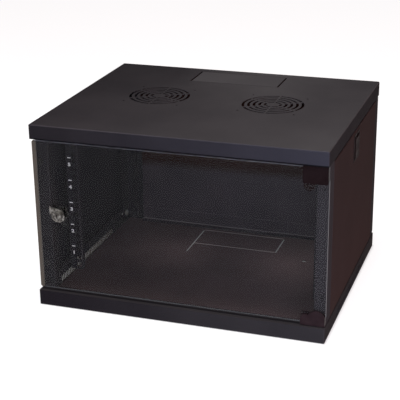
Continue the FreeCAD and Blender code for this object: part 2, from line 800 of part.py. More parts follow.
def make_pin_spring():
    """Compression spring under the pin's collar: square wire wound in short straight steps."""
    foot = spring_foot() + spring_wire / 2 + spring_play
    head = collar_head() - collar_height - spring_wire / 2 - spring_play
    radius = pin_collar / 2 - spring_wire
    points = []
    for index in range(spring_turns * spring_steps + 1):
        angle = 2 * math.pi * index / spring_steps
        z = foot + (head - foot) * index / (spring_turns * spring_steps)
        points.append(Vector(radius * math.cos(angle), radius * math.sin(angle), z))
    half = spring_wire / 2
    section = Part.makePolygon([Vector(radius + i * half, 0, foot + j * half) for i, j in
                                ((-1, -1), (1, -1), (1, 1), (-1, 1), (-1, -1))])
    coil = Part.makePolygon(points).makePipeShell([section], True, False, 1)
    coil.translate(Vector(axis_x, axis_y, 0))
    return coil


# ---------------------------------------------------------------- lock

def make_lock_body():
    """Barrel through the glass with a cornered finger pull and a raised ring."""
    tilt = math.atan2(lock_pull_rise, -lock_pull_reach)
    swing = math.acos(lock_face / math.hypot(lock_pull_reach, lock_pull_rise))
    touch = tilt - swing
    corner = Vector(lock_x - lock_pull_reach, lock_y, lock_z + lock_pull_rise)
    step = lock_z + lock_pull_rise - lock_pull_side
    corners = [Vector(lock_x + lock_face * math.cos(touch), lock_y,
                      lock_z + lock_face * math.sin(touch)),
               corner, Vector(corner.x, lock_y, step), Vector(lock_x, lock_y, step)]
    leaf = Part.Face(Part.makePolygon(corners + [corners[0]])).extrude(
        Vector(0, -lock_flange, 0))
    face = rod(lock_face, (lock_x, lock_y, lock_z), (0, -1, 0), lock_flange)
    ring = rod(lock_bezel, (lock_x, lock_y, lock_z), (0, -1, 0), lock_height)
    barrel = rod(lock_barrel, (lock_x, lock_y, lock_z), (0, 1, 0), cam_y - lock_y - cam_clear)
    bore = rod(lock_plug + running, (lock_x, lock_y - lock_height - 1, lock_z), (0, 1, 0),
               cam_y - lock_y + lock_height + 1)
    return union([leaf, face, ring, barrel]).cut(bore)


def make_lock_plug():
    """Key plug with its key slot; the square end at the back drives the cam."""
    front = -half_depth + plug_set
    shoulder = cam_y - fit
    plug = rod(lock_plug, (lock_x, front, lock_z), (0, 1, 0), shoulder - front)
    slot = block(lock_x - key_slot / 2, lock_x + key_slot / 2, front - 1,
                 front + key_slot_depth, lock_z - key_slot_height / 2,
                 lock_z + key_slot_height / 2)
    return union([plug.cut(slot), cam_square(shoulder, cam_y + cam_sheet)])


def cam_square(y0, y1):
    """The square that turns the cam."""
    half = cam_drive / 2
    return block(lock_x - half, lock_x + half, y0, y1, lock_z - half, lock_z + half)


def make_lock_cam():
    """Cam on the plug's square end; at rest it hangs down, clear of the post."""
    half = cam_width / 2
    blade = block(lock_x - half, lock_x + half, cam_y, cam_y + cam_sheet,
                  lock_z - cam_reach, lock_z)
    blade = rounded(blade, cam_corner, lambda a, b: abs(a.y - b.y) > 1 and a.z < lock_z - 1)
    boss = rod(half + cam_boss, (lock_x, cam_y, lock_z), (0, 1, 0), cam_sheet)
    return union([blade, boss]).cut(cam_square(cam_y - 1, cam_y + cam_sheet + 1))


def make_cam_screw():
    """Screw that holds the cam on the plug."""
    y = cam_y + cam_sheet
    crown = y + cam_screw_height
    head = rod(cam_screw_head, (lock_x, y, lock_z), (0, 1, 0), cam_screw_height)
    return head.makeChamfer(cam_screw_chamfer, [edge for edge in head.Edges
                                                if abs(edge.CenterOfMass.y - crown) < 1e-3])


def make_lock_washer():
    """Washer between the glass and the nut."""
    washer = rod(lock_nut / 2, (lock_x, glass_back, lock_z), (0, 1, 0), washer_sheet)
    return washer.cut(rod(lock_barrel + running, (lock_x, glass_back - 1, lock_z), (0, 1, 0),
                          washer_sheet + 2))


def make_lock_nut():
    """Hexagon nut that clamps the barrel to the glass."""
    nut = hexagon(lock_nut, 0, 0, 0, lock_nut_height)
    nut.rotate(Vector(0, 0, 0), Vector(0, 0, 1), 90)
    nut.translate(Vector(lock_x, glass_back + washer_sheet, lock_z))
    return nut.cut(rod(lock_barrel + running, (lock_x, glass_back, lock_z), (0, 1, 0),
                       washer_sheet + lock_nut_height + 1))


# ---------------------------------------------------------------- side panels

def make_side_panel():
    """Right side panel: a shallow tray with tongues below and the latch's cut-out."""
    y0 = panel_front + fit
    y1 = panel_rear - fit
    edge = panel_face - panel_return
    outer = block(edge, panel_face, y0, y1, panel_foot, panel_head)
    outer = rounded(outer, panel_bend, lambda a, b: min(a.x, b.x) > panel_face - 1e-6)
    inner = block(edge - 1, panel_face - panel_sheet, y0 + panel_sheet, y1 - panel_sheet,
                  panel_foot + panel_sheet, panel_head - panel_sheet)
    x = half_width - side_return + panel_tongue_set
    tongues = [block(x, x + panel_sheet, y - panel_tongue / 2, y + panel_tongue / 2,
                     panel_foot - panel_tongue_drop, panel_foot + panel_sheet)
               for y in tongue_places()]
    panel = union([outer.cut(inner)] + tongues)
    half = latch_width / 2 - latch_rim + fit
    window = block(panel_face - panel_bend - 1, panel_face + 1, latch_y - half, latch_y + half,
                   latch_foot + latch_rim - fit, latch_foot + latch_height - latch_rim + fit)
    return panel.cut([window, bolt_gate(panel_head - panel_sheet - 1, panel_head + 1)])


def bolt_gate(z0, z1):
    """Opening that the latch bolt slides through."""
    half = latch_bolt_width / 2 + fit
    middle = slide_middle()
    return block(bolt_x - fit, bolt_x + latch_bolt + fit, middle - half, middle + half, z0, z1)


def slide_middle():
    """Y of the middle of the latch's slide channel."""
    return latch_y + (latch_recess + latch_rim + latch_wall) / 2


def slide_span():
    """Y of both ends of the slide channel."""
    rear = latch_y + latch_width / 2 - latch_rim - latch_wall
    return (2 * slide_middle() - rear, rear)


def make_latch_housing():
    """Moulded frame of the latch: a finger recess and a slide channel side by side."""
    y0 = latch_y - latch_width / 2
    y1 = latch_y + latch_width / 2
    foot = latch_foot
    head = latch_foot + latch_height
    face = panel_face + latch_bezel
    back = panel_face - latch_depth
    bezel = block(panel_face, face, y0, y1, foot, head)
    bezel = rounded(bezel, latch_edge, lambda a, b: min(a.x, b.x) > face - 1e-6)
    body = block(back, panel_face, y0 + latch_rim, y1 - latch_rim, foot + latch_rim,
                 head - latch_rim)
    inset = latch_rim + latch_wall
    front, rear = slide_span()
    recess = block(back + latch_wall, face + 1, y0 + inset, front - latch_wall,
                   foot + inset, head - inset)
    channel = block(back + latch_wall, face + 1, front, rear, foot + inset, head - inset)
    gate = bolt_gate(head - inset - 1, head + 1)
    return union([bezel, body]).cut([recess, channel, gate])


def make_latch_slide():
    """Sliding button of the latch with its bolt."""
    front, rear = slide_span()
    foot = latch_foot + latch_rim + latch_wall + fit
    head = latch_foot + latch_height - latch_rim - latch_wall - fit - latch_throw
    face = panel_face + latch_bezel - button_set
    button = block(bolt_x, face, front + fit, rear - fit, foot, head)
    grooves = [block(face - groove_depth, face + 1, front, rear, foot + rise,
                     foot + rise + groove_width) for rise in groove_rises]
    half = latch_bolt_width / 2
    bolt = block(bolt_x, bolt_x + latch_bolt, slide_middle() - half, slide_middle() + half,
                 foot, lid_foot - latch_bolt_gap)
    return union([button.cut(grooves), bolt])


def main():
    os.makedirs("parts", exist_ok=True)

    save("top_cover", [make_top_cover()])
    save("base_tray", [make_base_tray()])
    save("back_panel", [make_back_panel()])
    post = make_front_post()
    save("front_post_right", [post])
    save("front_post_left", [other_side(post).cut(strike_slot())])
    save_pair("rear_post", make_rear_post())
    save_pair("lower_beam", make_side_beam(beam_foot))
    save_pair("upper_beam", make_side_beam(upper_beam_foot))
    save_pair("front_rail", make_rail(front_rail_y, 1))
    save_pair("rear_rail", make_rail(rear_rail_y, -1))

    bolts = []
    nuts = []
    for y, z in rail_bolt_places(front_rail_y, 1) + rail_bolt_places(rear_rail_y, -1):
        bolts += [make_rail_bolt(y, z), other_side(make_rail_bolt(y, z))]
        nuts += [make_rail_nut(y, z), other_side(make_rail_nut(y, z))]
    save("rail_bolts", bolts)
    save("rail_nuts", nuts)
    save("earth_stud", [make_earth_stud()])
    save("door_bumpers", [make_bumper(z) for z in bumper_heights()])
    save("upper_hinge_bush", [make_hinge_bush(lid_foot, 1)])
    save("lower_hinge_bush", [make_hinge_bush(base_lip, -1)])

    save("door_glass", [make_door_glass()])
    save("upper_hinge_clamp", [make_upper_clamp()])
    save("upper_hinge_pads", make_pads(upper_clamp_foot + pad_end, glass_head - pad_end))
    save("lower_hinge_clamp", [make_lower_clamp()])
    save("lower_hinge_pads", make_pads(glass_foot + pad_end, small_dome_top - small_dome))
    save("hinge_grub_screws", make_grub_screws())
    save("spring_pin", [make_spring_pin()])
    save("release_tab", [make_release_tab()])
    save("pin_spring", [make_pin_spring()])
    save("lower_hinge_pin", [make_lower_pin()])

    save("lock_body", [make_lock_body()])
    save("lock_washer", [make_lock_washer()])
    save("lock_nut", [make_lock_nut()])
    save("lock_plug", [make_lock_plug()])
    save("lock_cam", [make_lock_cam()])
    save("cam_screw", [make_cam_screw()])

    save_pair("side_panel", make_side_panel())
    save_pair("latch_housing", make_latch_housing())
    save_pair("latch_slide", make_latch_slide())


main()
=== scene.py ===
import math

import bpy
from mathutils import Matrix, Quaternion, Vector


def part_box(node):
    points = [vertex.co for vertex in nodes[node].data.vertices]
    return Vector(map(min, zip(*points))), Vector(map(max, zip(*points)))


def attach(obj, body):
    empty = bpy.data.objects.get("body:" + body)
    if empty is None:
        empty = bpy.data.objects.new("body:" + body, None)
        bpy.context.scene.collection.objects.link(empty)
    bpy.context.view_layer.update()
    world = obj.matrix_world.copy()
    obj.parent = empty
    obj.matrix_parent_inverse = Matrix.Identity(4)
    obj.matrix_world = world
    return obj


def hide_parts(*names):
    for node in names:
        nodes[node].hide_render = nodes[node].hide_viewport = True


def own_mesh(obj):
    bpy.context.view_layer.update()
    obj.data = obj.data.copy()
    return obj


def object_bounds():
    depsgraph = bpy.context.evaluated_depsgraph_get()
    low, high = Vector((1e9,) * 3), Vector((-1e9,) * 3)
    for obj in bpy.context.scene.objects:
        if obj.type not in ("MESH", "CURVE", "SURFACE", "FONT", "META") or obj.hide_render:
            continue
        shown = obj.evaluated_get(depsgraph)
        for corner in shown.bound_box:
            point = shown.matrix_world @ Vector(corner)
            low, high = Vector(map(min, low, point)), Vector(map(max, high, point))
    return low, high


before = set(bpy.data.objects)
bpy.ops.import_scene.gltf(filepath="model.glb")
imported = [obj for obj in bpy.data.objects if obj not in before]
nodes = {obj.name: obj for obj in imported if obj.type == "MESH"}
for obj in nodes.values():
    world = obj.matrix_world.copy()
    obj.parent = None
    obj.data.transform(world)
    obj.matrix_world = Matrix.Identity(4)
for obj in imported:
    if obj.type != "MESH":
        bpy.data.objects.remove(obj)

cad_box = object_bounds()


# ---------------------------------------------------------------- camera
# A long lens before the right hand corner of the door and above the lid, tipped by
# under a degree.
camera_place = Vector((0.6369, -1.9590, 0.9477))
camera_aim = Vector((-0.0290, 0.0, 0.1510))
camera_tip = math.radians(-0.779)
bpy.ops.object.camera_add(location=camera_place)
camera = bpy.context.object
camera.data.sensor_width = 36.0
camera.data.lens = 103.55
camera.rotation_mode = "QUATERNION"
camera.rotation_quaternion = ((camera_aim - camera_place).to_track_quat("-Z", "Y")
                              @ Quaternion((0, 0, 1), camera_tip))
bpy.context.scene.camera = camera
bpy.context.scene.view_settings.view_transform = "Standard"


# ---------------------------------------------------------------- studio
# A wide pale floor that keeps the cabinet's shadow and looks white, in a pale room that is
# redder at the cabinet's right, with four soft lamps. Within the cabinet's footprint the
# floor's glow is dimmed over a soft edge: a painted shadow, which the slots look onto.
floor_width = 16.0
floor_grey = 0.35
half_width = cad_box[1][0]
half_depth = cad_box[1][1]
shadow_edge_inside = 0.006
shadow_edge_outside = 0.004
painted_shadow_glow = 0.09
glow_open = 0.80
room_cool = (0.90, 0.91, 0.98)
room_warm = (1.0, 0.42, 0.34)
warm_in_full = 0.6
room_strength = 0.38


def shader(name):
    """A new material with its node tree and its Principled shader."""
    material = bpy.data.materials.new(name)
    material.use_nodes = True
    return material, material.node_tree, material.node_tree.nodes["Principled BSDF"]


def math_node(tree, operation, *values):
    """The outcome of one sum on node outputs."""
    step = tree.nodes.new("ShaderNodeMath")
    step.operation = operation
    for value, socket in zip(values, step.inputs):
        tree.links.new(value, socket)
    return step.outputs[0]


def largest(tree, values):
    """The largest of some numbers; with masks, 1 where any of them is 1."""
    most = values[0]
    for value in values[1:]:
        most = math_node(tree, "MAXIMUM", most, value)
    return most


def axes(tree, coordinate):
    """X, Y and Z of a texture coordinate."""
    place = tree.nodes.new("ShaderNodeTexCoord")
    parts = tree.nodes.new("ShaderNodeSeparateXYZ")
    tree.links.new(place.outputs[coordinate], parts.inputs["Vector"])
    return parts.outputs


def between(tree, value, low, high, start=0.35, end=0.65):
    """Spread the numbers from start to end over those from low to high."""
    spread = tree.nodes.new("ShaderNodeMapRange")
    spread.inputs["From Min"].default_value = start
    spread.inputs["From Max"].default_value = end
    spread.inputs["To Min"].default_value = low
    spread.inputs["To Max"].default_value = high
    tree.links.new(value, spread.inputs["Value"])
    return spread.outputs["Result"]


def blend(tree, value, first, second):
    """Mix two colours by a number from 0 to 1; either may be another node's output."""
    mixer = tree.nodes.new("ShaderNodeMix")
    mixer.data_type = "RGBA"
    tree.links.new(value, mixer.inputs["Factor"])
    for socket, colour in ((mixer.inputs["A"], first), (mixer.inputs["B"], second)):
        if isinstance(colour, tuple):
            socket.default_value = (*colour, 1)
        else:
            tree.links.new(colour, socket)
    return mixer.outputs["Result"]


def looked_at(tree):
    """1 where the eye looks straight, through the pane or by a reflection, else 0."""
    rays = tree.nodes.new("ShaderNodeLightPath")
    return largest(tree, [rays.outputs["Is Camera Ray"], rays.outputs["Is Transmission Ray"],
                          rays.outputs["Is Glossy Ray"]])


bpy.ops.mesh.primitive_plane_add(size=floor_width, location=(0.0, 0.0, 0.0))
floor = bpy.context.object
floor.name = "floor"
floor_paint, tree, surface = shader("floor_paint")
surface.inputs["Base Color"].default_value = (floor_grey, floor_grey, floor_grey, 1)
surface.inputs["Roughness"].default_value = 0.9
surface.inputs["Specular IOR Level"].default_value = 0.0
surface.inputs["Emission Color"].default_value = (1, 1, 1, 1)
parts = axes(tree, "Object")
# Dim glow within the cabinet's footprint: a painted shadow under the cabinet.
clear = [between(tree, math_node(tree, "ABSOLUTE", parts[axis]), 0.0, 1.0,
                 reach - shadow_edge_inside, reach + shadow_edge_outside)
         for axis, reach in (("X", half_width), ("Y", half_depth))]
white = between(tree, largest(tree, clear), painted_shadow_glow, glow_open, 0.0, 1.0)
tree.links.new(math_node(tree, "MULTIPLY", white, looked_at(tree)),
               surface.inputs["Emission Strength"])
floor.data.materials.append(floor_paint)

world = bpy.data.worlds.new("studio")
bpy.context.scene.world = world
world.use_nodes = True
tree = world.node_tree
tree.nodes.clear()
lit = tree.nodes.new("ShaderNodeBackground")
lit.inputs["Strength"].default_value = room_strength
from_right = between(tree, axes(tree, "Generated")["X"], 0.0, 1.0, 0.0, warm_in_full)
tree.links.new(blend(tree, from_right, room_cool, room_warm), lit.inputs["Color"])
backdrop = tree.nodes.new("ShaderNodeBackground")
backdrop.inputs["Color"].default_value = (1, 1, 1, 1)
mix = tree.nodes.new("ShaderNodeMixShader")
tree.links.new(looked_at(tree), mix.inputs["Fac"])
tree.links.new(lit.outputs[0], mix.inputs[1])
tree.links.new(backdrop.outputs[0], mix.inputs[2])
sky = tree.nodes.new("ShaderNodeOutputWorld")
tree.links.new(mix.outputs[0], sky.inputs["Surface"])


def lamp(name, place, aim, size, power, colour, mirrored=True):
    """A square soft box that looks at a point, mirrored in the pane or not."""
    bpy.ops.object.light_add(type="AREA", location=place)
    box = bpy.context.object
    box.name = name
    box.data.size = size
    box.data.energy = power
    box.data.color = colour
    box.rotation_euler = (Vector(aim) - Vector(place)).to_track_quat("-Z", "Y").to_euler()
    box.visible_camera = False
    box.visible_glossy = mirrored


lamp("front_lamp", place=(0.5, -1.2, 0.3), aim=(0.1, 0.0, 0.10), size=0.6, power=9.8,
     colour=(0.74, 0.79, 1.0), mirrored=False)
lamp("side_lamp", place=(2.8, -0.6, 1.0), aim=(0.27, 0.0, 0.15), size=1.2, power=4.5,
     colour=(1.0, 0.42, 0.32))
lamp("top_lamp", place=(-0.05, -0.5, 2.7), aim=(0.05, 0.0, 0.3), size=1.0, power=50.0,
     colour=(1.0, 0.96, 0.97))
lamp("corner_lamp", place=(0.7, -0.5, 1.5), aim=(0.2, -0.1, 0.35), size=0.6, power=4.0,
     colour=(1.0, 0.94, 0.94))


# ---------------------------------------------------------------- base tray
# A deep drawn and folded tray of steel sheet with a black powder coat, spot welded to the
# posts. Air slots are punched in its skirts, and a cable entry is cut in its floor, bare
# metal along two of its seams. Its floor inside is painted lighter, painted light, most at
# the right, and the left of its front face is darker, painted shade. The inside of the left
# skirt along its air slots is painted beige, painted light of the shaded floor beyond.
beyond = 1.0
sheet = 0.0015
entry_front = 0.1285
entry_rear = 0.2015
entry_half = 0.0865
seam_band = 0.0016
black = ((0.0270, 0.0252, 0.0268), (0.0330, 0.0308, 0.0322))
shaded_front = ((0.0130, 0.0110, 0.0135), (0.0165, 0.0140, 0.0170))
painted_light_floor = ((0.106, 0.076, 0.080), (0.130, 0.093, 0.097))
painted_light_floor_right = ((0.180, 0.126, 0.130), (0.215, 0.150, 0.155))
bare_metal = ((0.46, 0.38, 0.37), (0.56, 0.48, 0.46))
painted_light_slots = ((0.052, 0.043, 0.034), (0.100, 0.083, 0.066))
front_face = ("Y", -beyond, -half_depth + 0.0010, 0.0002)
floor_top = (("Z", sheet - 0.0007, sheet + 0.0007, 0.0001),
             ("X", -half_width + 0.0020, half_width - 0.0020, 0.0002),
             ("Y", -half_depth + 0.0035, half_depth - 0.0020, 0.0015))
seams = [floor_top + (("X", -entry_half, entry_half, 0.0002),
                      ("Y", seam - seam_band, seam + seam_band, 0.0002))
         for seam in (entry_front, entry_rear)]
slot_row = (("X", -half_width + 0.0003, -half_width + 0.0020, 0.0001),
            ("Y", -0.1300, 0.1250, 0.0002),
            ("Z", 0.0030, 0.0180, 0.0002))


def noise(tree, scale, detail=2.0, stretch=(1.0, 1.0, 1.0)):
    """Noise in the piece's own metres; scale is about the number of lumps in a metre."""
    place = tree.nodes.new("ShaderNodeTexCoord")
    squeeze = tree.nodes.new("ShaderNodeMapping")
    squeeze.inputs["Scale"].default_value = stretch
    lumps = tree.nodes.new("ShaderNodeTexNoise")
    lumps.inputs["Scale"].default_value = scale
    lumps.inputs["Detail"].default_value = detail
    tree.links.new(place.outputs["Object"], squeeze.inputs["Vector"])
    tree.links.new(squeeze.outputs["Vector"], lumps.inputs["Vector"])
    return lumps.outputs["Fac"]


def bumps(tree, surface, value, height):
    """Raise the surface by a noise; height is in metres."""
    bump = tree.nodes.new("ShaderNodeBump")
    bump.inputs["Distance"].default_value = height
    tree.links.new(value, bump.inputs["Height"])
    tree.links.new(bump.outputs["Normal"], surface.inputs["Normal"])


def folds(tree):
    """1 along the rounded folds, where the coat gets a painted highlight, else 0."""
    place = tree.nodes.new("ShaderNodeTexCoord")
    steep = tree.nodes.new("ShaderNodeVectorMath")
    steep.operation = "ABSOLUTE"
    parts = tree.nodes.new("ShaderNodeSeparateXYZ")
    tree.links.new(place.outputs["Normal"], steep.inputs[0])
    tree.links.new(steep.outputs["Vector"], parts.inputs["Vector"])
    return between(tree, largest(tree, list(parts.outputs)), 1.0, 0.0, start=0.86, end=0.985)


def zone(tree, limits):
    """1 within all limits (axis, low, high, soft) of object coordinates, else 0."""
    parts = axes(tree, "Object")
    masks = []
    for axis, low, high, soft in limits:
        masks.append(between(tree, parts[axis], 0.0, 1.0, low - soft, low + soft))
        masks.append(between(tree, parts[axis], 1.0, 0.0, high - soft, high + soft))
    inside = masks[0]
    for mask in masks[1:]:
        inside = math_node(tree, "MULTIPLY", inside, mask)
    return inside


def lighter(colour, factor):
    """A colour made lighter by a factor."""
    return tuple(factor * part for part in colour)


def powder_coat(name, colours, films=(), gloss=0.004, fold_highlight=1.2):
    """Fine textured coat, lighter along its folds as a painted highlight, under (limits,
    colours) films.
    """
    material, tree, surface = shader(name)
    pale = colours[1]
    clouds = between(tree, noise(tree, scale=9.0, detail=3.0), 0.0, 1.0)
    grain = noise(tree, scale=1100.0, detail=1.0)
    speckle = between(tree, noise(tree, scale=2300.0, detail=0.0), 0.0, 0.35,
                      start=0.55, end=0.75)
    # Along the folds the colour is lightened: a painted highlight.
    body = blend(tree, folds(tree), blend(tree, clouds, *colours), lighter(pale, fold_highlight))
    for limits, film in films:
        body = blend(tree, zone(tree, limits), body, blend(tree, clouds, *film))
    tree.links.new(blend(tree, speckle, body, lighter(pale, 1.6)),
                   surface.inputs["Base Color"])
    tree.links.new(between(tree, grain, 0.62, 0.74), surface.inputs["Roughness"])
    bumps(tree, surface, grain, height=0.00006)
    surface.inputs["Specular IOR Level"].default_value = gloss
    return material


def paint_nodes(material, *names):
    """Give CAD nodes a material in place of their packed one."""
    for name in names:
        nodes[name].data.materials.clear()
        nodes[name].data.materials.append(material)


floor_coat = powder_coat("floor_coat", black, films=(
    ((front_face, ("X", -beyond, -0.12, 0.20)), shaded_front),
    # Lighter floor inside, more at the right: painted light.
    (floor_top, painted_light_floor),
    (floor_top + (("X", 0.02, beyond, 0.16),), painted_light_floor_right),
    (seams[0], bare_metal),
    (seams[1], bare_metal),
    # Beige along the left skirt's air slots: painted light of the shaded floor beyond.
    (slot_row, painted_light_slots)))
paint_nodes(floor_coat, "base_tray")


# ---------------------------------------------------------------- posts
# Four folded posts of the same coated sheet, welded between the base tray and the lid. The
# one beside the hinges is painted lighter, painted light from the right, with almost no
# painted highlight at its folds.
case_coat = powder_coat("case_coat", black)
paint_nodes(case_coat, "front_post_left", "rear_post_right", "rear_post_left")
# A lighter copy of the case coat for the post at the right: painted light.
painted_light_post_coat = powder_coat(
    "painted_light_post_coat", ((0.0350, 0.0325, 0.0355), (0.0420, 0.0390, 0.0420)), fold_highlight=0.9)
paint_nodes(painted_light_post_coat, "front_post_right")


# ---------------------------------------------------------------- lid
# A deep drawn sheet with folded skirts all round, welded on the posts, with two fan grilles
# and a cable entry cut in it. Its coat is painted lighter at the right of its top and bluer
# and lighter at the right of its front, painted light, and darker at the back left of its
# top and under its front fold, painted shade. It is lighter about the cable entry, and its
# folds get a strong painted highlight.
lid_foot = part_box("top_cover")[0].z
lid_top = (("Z", cad_box[1][2] - 0.0010, beyond, 0.0006),)
front_foot = (("Y", -beyond, -half_depth + 0.0030, 0.0002),
              ("Z", -beyond, lid_foot + 0.0020, 0.0005))
lid_black = ((0.0196, 0.0180, 0.0200), (0.0248, 0.0227, 0.0247))
painted_light_lid_right = ((0.0440, 0.0425, 0.0438), (0.0510, 0.0495, 0.0508))
painted_shade_lid_back_left = ((0.0100, 0.0093, 0.0101), (0.0128, 0.0119, 0.0128))
lighter_about_entry = ((0.0480, 0.0470, 0.0482), (0.0550, 0.0540, 0.0552))
entry_plate = ((0.0425, 0.0415, 0.0430), (0.0490, 0.0478, 0.0493))
painted_light_lid_front = ((0.0320, 0.0320, 0.0405), (0.0380, 0.0380, 0.0480))
painted_shade_lid_foot = ((0.0040, 0.0040, 0.0050), (0.0060, 0.0060, 0.0070))
# Films: painted light at the right of the top and front, painted shade at the back left and
# under the front fold.
lid_coat = powder_coat("lid_coat", lid_black, fold_highlight=1.85, films=(
    (lid_top + (("X", 0.0, beyond, 0.24), ("Y", -beyond, 0.06, 0.36)), painted_light_lid_right),
    (lid_top + (("X", -beyond, -0.12, 0.22), ("Y", 0.02, beyond, 0.24)), painted_shade_lid_back_left),
    (lid_top + (("X", -0.03, 0.15, 0.10), ("Y", 0.05, beyond, 0.14)), lighter_about_entry),
    (lid_top + (("X", -entry_half, entry_half, 0.0010),
                ("Y", entry_front, entry_rear, 0.0010)), entry_plate),
    ((front_face, ("X", 0.06, beyond, 0.26)), painted_light_lid_front),
    (front_foot, painted_shade_lid_foot)))
paint_nodes(lid_coat, "top_cover")


# ---------------------------------------------------------------- back panel
# A flat coated sheet welded behind the rear posts. Inside it is painted lighter, painted
# light, most at the right; its upper part is painted dark brown, a painted shadow of the
# lid; and a painted highlight runs along its foot, where it meets the tray.
wall_inside = ("Y", -beyond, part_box("back_panel")[1].y - 0.0006, 0.0002)
painted_light_wall = ((0.046, 0.038, 0.044), (0.062, 0.050, 0.057))
painted_light_wall_right = ((0.070, 0.060, 0.068), (0.088, 0.075, 0.084))
painted_lid_shadow = ((0.0260, 0.0090, 0.0050), (0.0320, 0.0120, 0.0080))
painted_highlight_wall_foot = ((0.120, 0.100, 0.108), (0.180, 0.155, 0.165))
painted_shadow_from = 0.1330
foot_line = 0.0055
foot_band = 0.0011
# Inside films: painted light, a painted shadow of the lid, a painted highlight at the foot.
wall_coat = powder_coat("wall_coat", black, films=(
    ((wall_inside,), painted_light_wall),
    ((wall_inside, ("X", 0.08, beyond, 0.16)), painted_light_wall_right),
    # Dark brown above 133 mm: a painted shadow of the lid.
    ((wall_inside, ("Z", painted_shadow_from, beyond, 0.0100)), painted_lid_shadow),
    # Pale line along the foot: a painted highlight.
    ((wall_inside, ("Z", foot_line - foot_band, foot_line + foot_band, 0.0003)),
     painted_highlight_wall_foot)))
paint_nodes(wall_coat, "back_panel")


# ---------------------------------------------------------------- side panels
# Shallow folded trays, held in the case's sides by tongues at their foot and a latch at
# their top. Their outer faces are painted brown, painted warm light from the right, more so
# low on the right panel; the left panel's outer face gets the same brown. Their folds get a
# strong painted highlight.
panel_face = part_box("side_panel_right")[1].x - 0.0008
panel_black = ((0.0240, 0.0225, 0.0250), (0.0290, 0.0265, 0.0290))
painted_warm_light = ((0.0355, 0.0232, 0.0222), (0.0415, 0.0270, 0.0258))
painted_warm_light_low = ((0.0460, 0.0290, 0.0275), (0.0520, 0.0330, 0.0312))
right_outside = ("X", panel_face, beyond, 0.0002)
left_outside = ("X", -beyond, -panel_face, 0.0002)
# Brown outer faces: painted warm light from the right, copied on the left panel.
panel_coat = powder_coat("panel_coat", panel_black, gloss=0.003, fold_highlight=2.6, films=(
    ((right_outside,), painted_warm_light),
    ((right_outside, ("Z", -beyond, 0.13, 0.13)), painted_warm_light_low),
    ((left_outside,), painted_warm_light)))
paint_nodes(panel_coat, "side_panel_right", "side_panel_left")


# ---------------------------------------------------------------- side panel latches
# Black moulded frames snapped into the panels, each with a sliding button that lifts a bolt
# behind the case's edge. The moulds were spark eroded, which leaves a fine texture.
def mottled(name, colours, clouds, roughness, patches, grain=None, height=0.0,
            metallic=0.0, specular=0.5):
    """A finish of clouded colour and patchy gloss, over a fine grain if it has one.

    Clouds, patches and grain are noises, each as (scale, detail) and perhaps a stretch."""
    material, tree, surface = shader(name)
    tree.links.new(blend(tree, between(tree, noise(tree, *clouds), 0.0, 1.0), *colours),
                   surface.inputs["Base Color"])
    tree.links.new(between(tree, noise(tree, *patches), *roughness),
                   surface.inputs["Roughness"])
    if grain:
        bumps(tree, surface, noise(tree, *grain), height)
    surface.inputs["Metallic"].default_value = metallic
    surface.inputs["Specular IOR Level"].default_value = specular
    return material


plastic = mottled("latch_plastic", ((0.0170, 0.0115, 0.0110), (0.0230, 0.0155, 0.0150)),
                  clouds=(80.0, 3.0), roughness=(0.50, 0.66), patches=(1500.0, 1.0),
                  grain=(1900.0, 1.0), height=0.00005, specular=0.012)
paint_nodes(plastic, "latch_housing_right", "latch_housing_left", "latch_slide_right",
            "latch_slide_left")


# ---------------------------------------------------------------- beams and rack rails
# Slotted channels, welded between the posts by end plates, and the rails that are bolted to
# them, folded from thicker sheet. Their coat is thin and a little greyer than the case's.
rail_coat = powder_coat(
    "rail_coat", ((0.0240, 0.0222, 0.0245), (0.0300, 0.0275, 0.0300)), gloss=0.02, fold_highlight=1.3)
paint_nodes(rail_coat, "front_rail_right", "front_rail_left", "rear_rail_right",
            "rear_rail_left", "lower_beam_right", "lower_beam_left", "upper_beam_right",
            "upper_beam_left")


# ---------------------------------------------------------------- earthing stud
# A stud welded on the floor behind the right post, in bright zinc plate with a faint blue
# and yellow cast, as all the fasteners are.
zinc = mottled("zinc_plate", ((0.66, 0.68, 0.72), (0.74, 0.71, 0.62)),
               clouds=(160.0, 2.0), roughness=(0.24, 0.42), patches=(900.0, 2.0),
               grain=(1500.0, 1.0), height=0.00004, metallic=1.0)
paint_nodes(zinc, "earth_stud")


# ---------------------------------------------------------------- bolts of the rails
# Eight M6 hexagon bolts clamp the rails to the slotted beams, their heads inside the
# cabinet and their nuts behind the beams' webs; heads and nuts have turned chamfers.
bolts_low, bolts_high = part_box("rail_bolts")
nuts_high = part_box("rail_nuts")[1]
thread = 0.0060
across_flats = 0.0100
across_corners = across_flats / math.cos(math.radians(30))
head_height = 0.0040
nut_height = 0.0050
plain_length = 0.0035
thread_length = 0.0060
chamfer = 0.0007
pitch = 0.0010
groove = 0.84


def solo():
    """Let go of everything before a new piece is begun."""
    bpy.ops.object.select_all(action="DESELECT")


def pick_faces(piece, wanted):
    """Select the faces of a piece for which wanted(normal) holds, and edit it."""
    bpy.ops.object.mode_set(mode="EDIT")
    bpy.ops.mesh.select_all(action="DESELECT")
    bpy.ops.mesh.select_mode(type="FACE")
    bpy.ops.object.mode_set(mode="OBJECT")
    for face in piece.data.polygons:
        face.select = wanted(face.normal)
    bpy.ops.object.mode_set(mode="EDIT")


def finish_zinc(piece, name, body, node):
    """Leave a zinc plated piece at the origin in place of its CAD node."""
    bpy.ops.object.transform_apply(location=True, rotation=True, scale=True)
    bpy.ops.object.shade_smooth_by_angle(angle=math.radians(28))
    piece.name = name
    piece.data.materials.clear()
    piece.data.materials.append(zinc)
    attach(piece, body)
    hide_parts(node)


